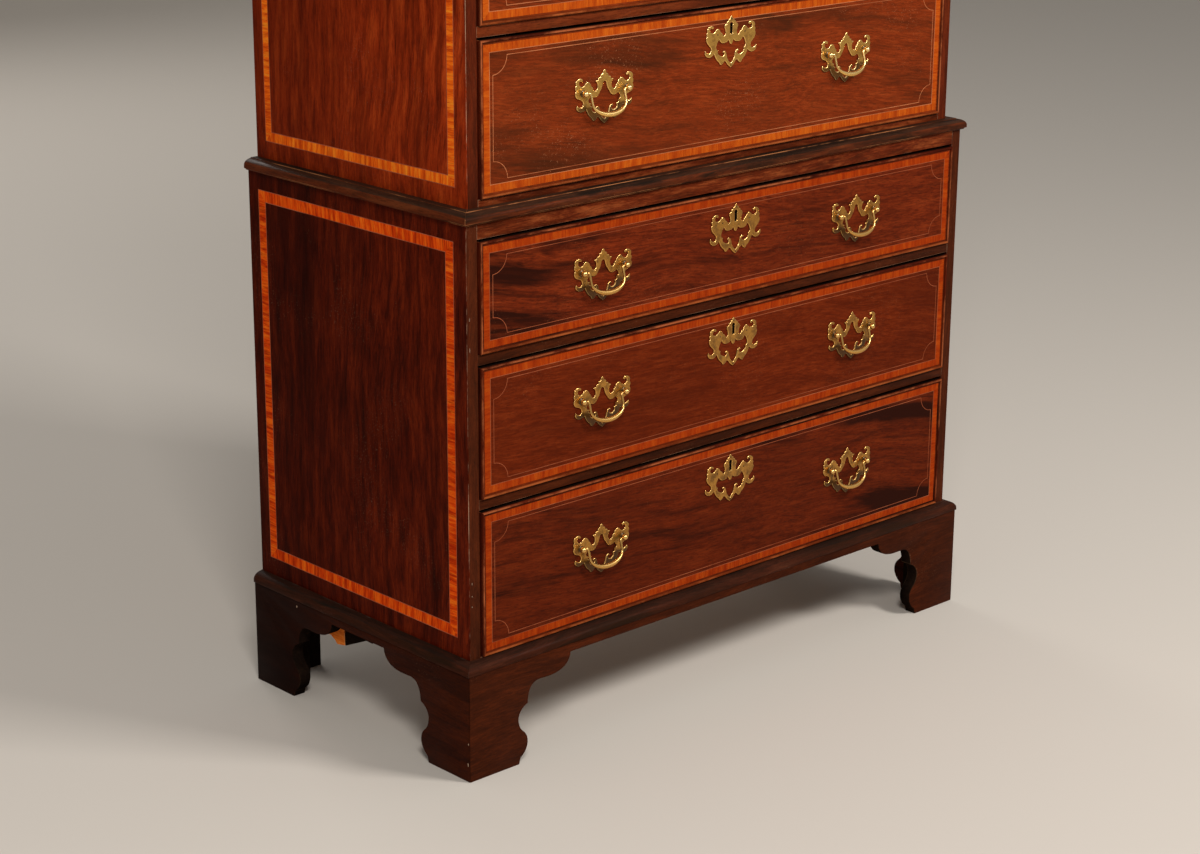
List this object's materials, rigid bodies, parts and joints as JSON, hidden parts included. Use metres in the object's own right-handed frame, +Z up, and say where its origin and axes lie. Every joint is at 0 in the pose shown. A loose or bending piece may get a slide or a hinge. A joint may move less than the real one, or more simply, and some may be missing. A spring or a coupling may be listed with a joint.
{
  "type": "chest on chest",
  "caption": "Tall two-part chest of graduated drawers with inlaid fronts, pierced brass pulls, a waist moulding and bracket feet, the upper case lifting off.",
  "frame": {"origin": "on the floor, at the centre of the overall box", "axes": "+Z up, -Y towards the drawer fronts, +X to the right seen from the front"},
  "size_m": [1.147, 0.5506, 1.7995],
  "materials": {
    "case_mahogany": "dark red-brown mahogany, old polish with a soft sheen, scuffed on the edges",
    "drawer_mahogany": "red mahogany with dark streaks, satinwood crossbanding and stringing, polished",
    "moulding_mahogany": "nearly black mahogany, waxed, worn pale on the arrises",
    "secondary_oak": "plain unpolished softwood, dry and darkened",
    "drawer_lining": "plain unpolished oak linings, dry",
    "pull_brass": "old lacquered brass, softly polished on the high parts"
  },
  "bodies": {
    "lower_case": {"lower_left_side": "case_mahogany", "lower_right_side": "case_mahogany", "lower_bottom": "case_mahogany", "lower_top": "case_mahogany", "lower_divider_1": "case_mahogany", "lower_divider_2": "case_mahogany", "lower_back": "secondary_oak", "plinth_front": "case_mahogany", "plinth_left": "case_mahogany", "plinth_right": "case_mahogany", "rear_bracket_left": "secondary_oak", "rear_bracket_right": "secondary_oak", "front_block_left": "secondary_oak", "front_block_right": "secondary_oak", "rear_block_left": "secondary_oak", "rear_block_right": "secondary_oak", "base_moulding": "moulding_mahogany", "waist_moulding": "moulding_mahogany"},
    "upper_case": {"upper_left_side": "case_mahogany", "upper_right_side": "case_mahogany", "upper_bottom": "case_mahogany", "upper_top": "case_mahogany", "upper_divider_1": "case_mahogany", "upper_divider_2": "case_mahogany", "upper_divider_3": "case_mahogany", "upper_back": "secondary_oak", "short_drawer_partition": "case_mahogany", "cornice": "moulding_mahogany"},
    "lower_drawer_3": {"lower_drawer_3_front": "drawer_mahogany", "lower_drawer_3_box": "drawer_lining"},
    "lower_drawer_3_bail_left": {"lower_drawer_3_bail_left": "pull_brass"},
    "lower_drawer_3_bail_right": {"lower_drawer_3_bail_right": "pull_brass"},
    "lower_drawer_2": {"lower_drawer_2_front": "drawer_mahogany", "lower_drawer_2_box": "drawer_lining"},
    "lower_drawer_2_bail_left": {"lower_drawer_2_bail_left": "pull_brass"},
    "lower_drawer_2_bail_right": {"lower_drawer_2_bail_right": "pull_brass"},
    "lower_drawer_1": {"lower_drawer_1_front": "drawer_mahogany", "lower_drawer_1_box": "drawer_lining"},
    "lower_drawer_1_bail_left": {"lower_drawer_1_bail_left": "pull_brass"},
    "lower_drawer_1_bail_right": {"lower_drawer_1_bail_right": "pull_brass"},
    "upper_drawer_3": {"upper_drawer_3_front": "drawer_mahogany", "upper_drawer_3_box": "drawer_lining"},
    "upper_drawer_3_bail_left": {"upper_drawer_3_bail_left": "pull_brass"},
    "upper_drawer_3_bail_right": {"upper_drawer_3_bail_right": "pull_brass"},
    "upper_drawer_2": {"upper_drawer_2_front": "drawer_mahogany", "upper_drawer_2_box": "drawer_lining"},
    "upper_drawer_2_bail_left": {"upper_drawer_2_bail_left": "pull_brass"},
    "upper_drawer_2_bail_right": {"upper_drawer_2_bail_right": "pull_brass"},
    "upper_drawer_1": {"upper_drawer_1_front": "drawer_mahogany", "upper_drawer_1_box": "drawer_lining"},
    "upper_drawer_1_bail_left": {"upper_drawer_1_bail_left": "pull_brass"},
    "upper_drawer_1_bail_right": {"upper_drawer_1_bail_right": "pull_brass"},
    "short_drawer_left": {"short_drawer_left_front": "drawer_mahogany", "short_drawer_left_box": "drawer_lining"},
    "short_drawer_left_bail_left": {"short_drawer_left_bail_left": "pull_brass"},
    "short_drawer_left_bail_right": {"short_drawer_left_bail_right": "pull_brass"},
    "short_drawer_right": {"short_drawer_right_front": "drawer_mahogany", "short_drawer_right_box": "drawer_lining"},
    "short_drawer_right_bail_left": {"short_drawer_right_bail_left": "pull_brass"},
    "short_drawer_right_bail_right": {"short_drawer_right_bail_right": "pull_brass"}
  },
  "joints": [
    {"name": "upper_case_lift", "type": "slide", "parent": "lower_case", "child": "upper_case", "axis": [0, 0, 1], "range_m": [0, 0.1]},
    {"name": "lower_drawer_3_slide", "type": "slide", "parent": "lower_case", "child": "lower_drawer_3", "axis": [0, -1, 0], "range_m": [0, 0.4]},
    {"name": "lower_drawer_3_bail_left_swing", "type": "hinge", "parent": "lower_drawer_3", "child": "lower_drawer_3_bail_left", "pos_m": [-0.285, -0.26225, 0.31519], "axis": [-1, 0, 0], "range_deg": [0, 165]},
    {"name": "lower_drawer_3_bail_right_swing", "type": "hinge", "parent": "lower_drawer_3", "child": "lower_drawer_3_bail_right", "pos_m": [0.285, -0.26225, 0.31519], "axis": [-1, 0, 0], "range_deg": [0, 165]},
    {"name": "lower_drawer_2_slide", "type": "slide", "parent": "lower_case", "child": "lower_drawer_2", "axis": [0, -1, 0], "range_m": [0, 0.4]},
    {"name": "lower_drawer_2_bail_left_swing", "type": "hinge", "parent": "lower_drawer_2", "child": "lower_drawer_2_bail_left", "pos_m": [-0.285, -0.26225, 0.55275], "axis": [-1, 0, 0], "range_deg": [0, 165]},
    {"name": "lower_drawer_2_bail_right_swing", "type": "hinge", "parent": "lower_drawer_2", "child": "lower_drawer_2_bail_right", "pos_m": [0.285, -0.26225, 0.55275], "axis": [-1, 0, 0], "range_deg": [0, 165]},
    {"name": "lower_drawer_1_slide", "type": "slide", "parent": "lower_case", "child": "lower_drawer_1", "axis": [0, -1, 0], "range_m": [0, 0.4]},
    {"name": "lower_drawer_1_bail_left_swing", "type": "hinge", "parent": "lower_drawer_1", "child": "lower_drawer_1_bail_left", "pos_m": [-0.285, -0.26225, 0.75263], "axis": [-1, 0, 0], "range_deg": [0, 165]},
    {"name": "lower_drawer_1_bail_right_swing", "type": "hinge", "parent": "lower_drawer_1", "child": "lower_drawer_1_bail_right", "pos_m": [0.285, -0.26225, 0.75263], "axis": [-1, 0, 0], "range_deg": [0, 165]},
    {"name": "upper_drawer_3_slide", "type": "slide", "parent": "upper_case", "child": "upper_drawer_3", "axis": [0, -1, 0], "range_m": [0, 0.38]},
    {"name": "upper_drawer_3_bail_left_swing", "type": "hinge", "parent": "upper_drawer_3", "child": "upper_drawer_3_bail_left", "pos_m": [-0.267, -0.24375, 1.01767], "axis": [-1, 0, 0], "range_deg": [0, 165]},
    {"name": "upper_drawer_3_bail_right_swing", "type": "hinge", "parent": "upper_drawer_3", "child": "upper_drawer_3_bail_right", "pos_m": [0.267, -0.24375, 1.01767], "axis": [-1, 0, 0], "range_deg": [0, 165]},
    {"name": "upper_drawer_2_slide", "type": "slide", "parent": "upper_case", "child": "upper_drawer_2", "axis": [0, -1, 0], "range_m": [0, 0.38]},
    {"name": "upper_drawer_2_bail_left_swing", "type": "hinge", "parent": "upper_drawer_2", "child": "upper_drawer_2_bail_left", "pos_m": [-0.267, -0.24375, 1.24907], "axis": [-1, 0, 0], "range_deg": [0, 165]},
    {"name": "upper_drawer_2_bail_right_swing", "type": "hinge", "parent": "upper_drawer_2", "child": "upper_drawer_2_bail_right", "pos_m": [0.267, -0.24375, 1.24907], "axis": [-1, 0, 0], "range_deg": [0, 165]},
    {"name": "upper_drawer_1_slide", "type": "slide", "parent": "upper_case", "child": "upper_drawer_1", "axis": [0, -1, 0], "range_m": [0, 0.38]},
    {"name": "upper_drawer_1_bail_left_swing", "type": "hinge", "parent": "upper_drawer_1", "child": "upper_drawer_1_bail_left", "pos_m": [-0.267, -0.24375, 1.45996], "axis": [-1, 0, 0], "range_deg": [0, 165]},
    {"name": "upper_drawer_1_bail_right_swing", "type": "hinge", "parent": "upper_drawer_1", "child": "upper_drawer_1_bail_right", "pos_m": [0.267, -0.24375, 1.45996], "axis": [-1, 0, 0], "range_deg": [0, 165]},
    {"name": "short_drawer_left_slide", "type": "slide", "parent": "upper_case", "child": "short_drawer_left", "axis": [0, -1, 0], "range_m": [0, 0.38]},
    {"name": "short_drawer_left_bail_left_swing", "type": "hinge", "parent": "short_drawer_left", "child": "short_drawer_left_bail_left", "pos_m": [-0.41025, -0.24375, 1.64577], "axis": [-1, 0, 0], "range_deg": [0, 165]},
    {"name": "short_drawer_left_bail_right_swing", "type": "hinge", "parent": "short_drawer_left", "child": "short_drawer_left_bail_right", "pos_m": [-0.11025, -0.24375, 1.64577], "axis": [-1, 0, 0], "range_deg": [0, 165]},
    {"name": "short_drawer_right_slide", "type": "slide", "parent": "upper_case", "child": "short_drawer_right", "axis": [0, -1, 0], "range_m": [0, 0.38]},
    {"name": "short_drawer_right_bail_left_swing", "type": "hinge", "parent": "short_drawer_right", "child": "short_drawer_right_bail_left", "pos_m": [0.11025, -0.24375, 1.64577], "axis": [-1, 0, 0], "range_deg": [0, 165]},
    {"name": "short_drawer_right_bail_right_swing", "type": "hinge", "parent": "short_drawer_right", "child": "short_drawer_right_bail_right", "pos_m": [0.41025, -0.24375, 1.64577], "axis": [-1, 0, 0], "range_deg": [0, 165]}
  ]
}
